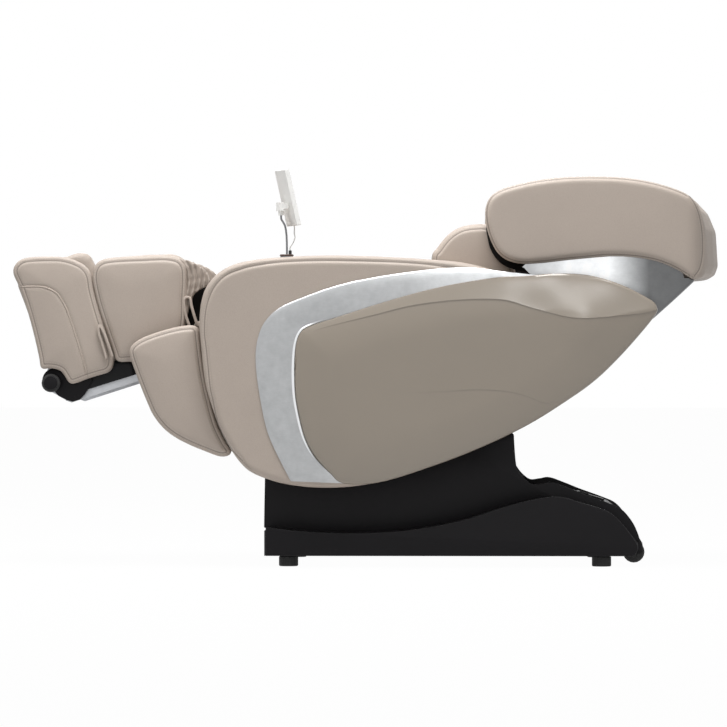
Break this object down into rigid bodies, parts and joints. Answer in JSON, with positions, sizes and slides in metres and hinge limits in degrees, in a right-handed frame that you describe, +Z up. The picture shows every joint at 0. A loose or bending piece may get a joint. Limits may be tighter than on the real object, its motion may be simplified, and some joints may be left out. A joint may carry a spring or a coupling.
{
  "type": "massage_chair",
  "caption": "Zero-gravity massage chair with a reclining hooded backrest, raised legrest with foot wells, teardrop side shells, a low base it slides on and a tablet remote",
  "frame": {"origin": "the middle of the chair's box seen from above, on the floor", "axes": "+X runs along the chair from the feet to the head, +Y across it to the sitter's right, +Z up from the floor"},
  "size_m": [1.768, 0.8006, 0.9879],
  "materials": {
    "leather": "pebbled taupe leather",
    "side_plastic": "satin taupe paint",
    "silver": "silver paint",
    "black_plastic": "black moulded",
    "black_steel": "black powder coat",
    "zinc_steel": "zinc plated",
    "rubber": "moulded rubber",
    "cream_plastic": "moulded, pale",
    "cable_grey": "cable sheath"
  },
  "bodies": {
    "base": {"base_frame": "black_steel", "base_skirt": "black_plastic", "base_cover": "black_plastic", "power_panel": "black_plastic", "foot_front_l": "rubber", "foot_front_r": "rubber", "foot_rear_l": "rubber", "foot_rear_r": "rubber", "slide_motor": "black_steel"},
    "switch": {"power_switch": "rubber"},
    "wheel_l": {"transport_wheel_l": "rubber"},
    "wheel_r": {"transport_wheel_r": "rubber"},
    "carriage": {"carriage_frame": "black_steel"},
    "tilt_tube": {"tilt_actuator_tube": "black_steel"},
    "tilt_rod": {"tilt_actuator_rod": "zinc_steel"},
    "seat": {"seat_frame": "black_steel", "seat_cushion": "leather", "arm_body_l": "leather", "arm_body_r": "leather", "arm_cover_l": "leather", "arm_cover_r": "leather", "side_shell_l": "side_plastic", "side_shell_r": "side_plastic", "arm_trim_l": "silver", "arm_trim_r": "silver", "knee_panel_l": "leather", "knee_panel_r": "leather"},
    "neck": {"tablet_neck": "zinc_steel", "cable_plug": "rubber", "tablet_cable": "cable_grey", "tablet_cradle": "cream_plastic"},
    "tablet": {"tablet": "cream_plastic"},
    "leg_tube": {"leg_actuator_tube": "black_steel"},
    "leg_rod": {"leg_actuator_rod": "zinc_steel"},
    "leg": {"leg_frame": "black_steel", "calf_pad": "leather", "calf_wall_l": "leather", "calf_wall_r": "leather", "knee_gusset_l": "leather", "knee_gusset_r": "leather"},
    "foot": {"foot_frame": "zinc_steel", "foot_pad": "leather", "foot_wall_l": "leather", "foot_wall_r": "leather"},
    "sole": {"sole_roller": "zinc_steel"},
    "foot_wheel_l": {"footrest_wheel_l": "rubber"},
    "foot_wheel_r": {"footrest_wheel_r": "rubber"},
    "back_tube": {"back_actuator_tube": "black_steel"},
    "back_rod": {"back_actuator_rod": "zinc_steel"},
    "back": {"back_frame": "black_steel", "back_shell": "silver", "hood_wing_l": "leather", "hood_wing_r": "leather", "hood_back": "leather", "back_cushion": "leather", "shoulder_pad_l": "leather", "shoulder_pad_r": "leather", "head_pillow": "leather"},
    "massage": {"massage_carriage": "black_steel"},
    "knead": {"knead_shaft": "zinc_steel"}
  },
  "joints": [
    {"name": "power_switch_rock", "type": "hinge", "parent": "base", "child": "switch", "pos_m": [0.54161, -0.168, 0.17689], "axis": [0, 1, 0], "range_deg": [-8, 8]},
    {"name": "transport_wheel_l_spin", "type": "hinge", "parent": "base", "child": "wheel_l", "pos_m": [0.665, -0.24, 0.035], "axis": [0, 1, 0], "continuous": true},
    {"name": "transport_wheel_r_spin", "type": "hinge", "parent": "base", "child": "wheel_r", "pos_m": [0.665, 0.24, 0.035], "axis": [0, 1, 0], "continuous": true},
    {"name": "carriage_slide", "type": "slide", "parent": "base", "child": "carriage", "axis": [1, 0, 0], "range_m": [0, 0.151]},
    {"name": "seat_tilt", "type": "hinge", "parent": "carriage", "child": "seat", "pos_m": [-0.16, 0, 0.32], "axis": [0, -1, 0], "range_deg": [0, 15]},
    {"name": "back_recline", "type": "hinge", "parent": "seat", "child": "back", "pos_m": [0.06, 0, 0.4], "axis": [0, -1, 0], "range_deg": [0, 45]},
    {"name": "leg_lift", "type": "hinge", "parent": "seat", "child": "leg", "pos_m": [-0.43, 0, 0.505], "axis": [0, -1, 0], "range_deg": [0, 60]},
    {"name": "footrest_slide", "type": "slide", "parent": "leg", "child": "foot", "axis": [-0.9511, 0, -0.309], "range_m": [0, 0.1]},
    {"name": "sole_roller_spin", "type": "hinge", "parent": "foot", "child": "sole", "pos_m": [-0.735, 0, 0.522], "axis": [0, 1, 0], "continuous": true},
    {"name": "footrest_wheel_l_spin", "type": "hinge", "parent": "foot", "child": "foot_wheel_l", "pos_m": [-0.793, -0.243, 0.456], "axis": [0, 1, 0], "continuous": true},
    {"name": "footrest_wheel_r_spin", "type": "hinge", "parent": "foot", "child": "foot_wheel_r", "pos_m": [-0.793, 0.243, 0.456], "axis": [0, 1, 0], "continuous": true},
    {"name": "massage_slide", "type": "slide", "parent": "back", "child": "massage", "axis": [0.9135, 0, 0.4067], "range_m": [0, 0.42]},
    {"name": "knead_spin", "type": "hinge", "parent": "massage", "child": "knead", "pos_m": [0.20614, 0, 0.51432], "axis": [0, 1, 0], "continuous": true},
    {"name": "remote_swivel", "type": "hinge", "parent": "seat", "child": "neck", "pos_m": [-0.1985, -0.33, 0.768], "axis": [0, 0, 1], "range_deg": [-45, 45]},
    {"name": "tablet_tilt", "type": "hinge", "parent": "neck", "child": "tablet", "pos_m": [-0.20498, -0.32726, 0.895], "axis": [0.342, -0.9397, 0], "range_deg": [0, 20]},
    {"name": "tilt_actuator_swing", "type": "hinge", "parent": "carriage", "child": "tilt_tube", "pos_m": [0.12, 0.14, 0.245], "axis": [0, -1, 0], "range_deg": [-6.78, 1]},
    {"name": "tilt_actuator_stroke", "type": "slide", "parent": "tilt_tube", "child": "tilt_rod", "axis": [-0.8192, 0, 0.5735], "range_m": [-0.002, 0.0309]},
    {"name": "back_actuator_swing", "type": "hinge", "parent": "seat", "child": "back_tube", "pos_m": [-0.27, -0.06, 0.335], "axis": [0, -1, 0], "range_deg": [-1, 6.08]},
    {"name": "back_actuator_stroke", "type": "slide", "parent": "back_tube", "child": "back_rod", "axis": [0.9961, 0, -0.0879], "range_m": [-0.002, 0.0682]},
    {"name": "leg_actuator_swing", "type": "hinge", "parent": "seat", "child": "leg_tube", "pos_m": [-0.06, 0.06, 0.372], "axis": [0, -1, 0], "range_deg": [-1, 2.9]},
    {"name": "leg_actuator_stroke", "type": "slide", "parent": "leg_tube", "child": "leg_rod", "axis": [-0.976, 0, 0.218], "range_m": [-0.0612, 0.002]}
  ],
  "couplings": [
    {"joint": "carriage_slide", "follows": "back_recline", "m_per_rad": 0.1909},
    {"joint": "tilt_actuator_swing", "follows": "seat_tilt", "ratio": -0.3852},
    {"joint": "tilt_actuator_stroke", "follows": "seat_tilt", "m_per_rad": 0.1103},
    {"joint": "back_actuator_swing", "follows": "back_recline", "ratio": 0.1128},
    {"joint": "back_actuator_stroke", "follows": "back_recline", "m_per_rad": 0.0842},
    {"joint": "leg_actuator_swing", "follows": "leg_lift", "ratio": 0.0316},
    {"joint": "leg_actuator_stroke", "follows": "leg_lift", "m_per_rad": -0.0565}
  ]
}
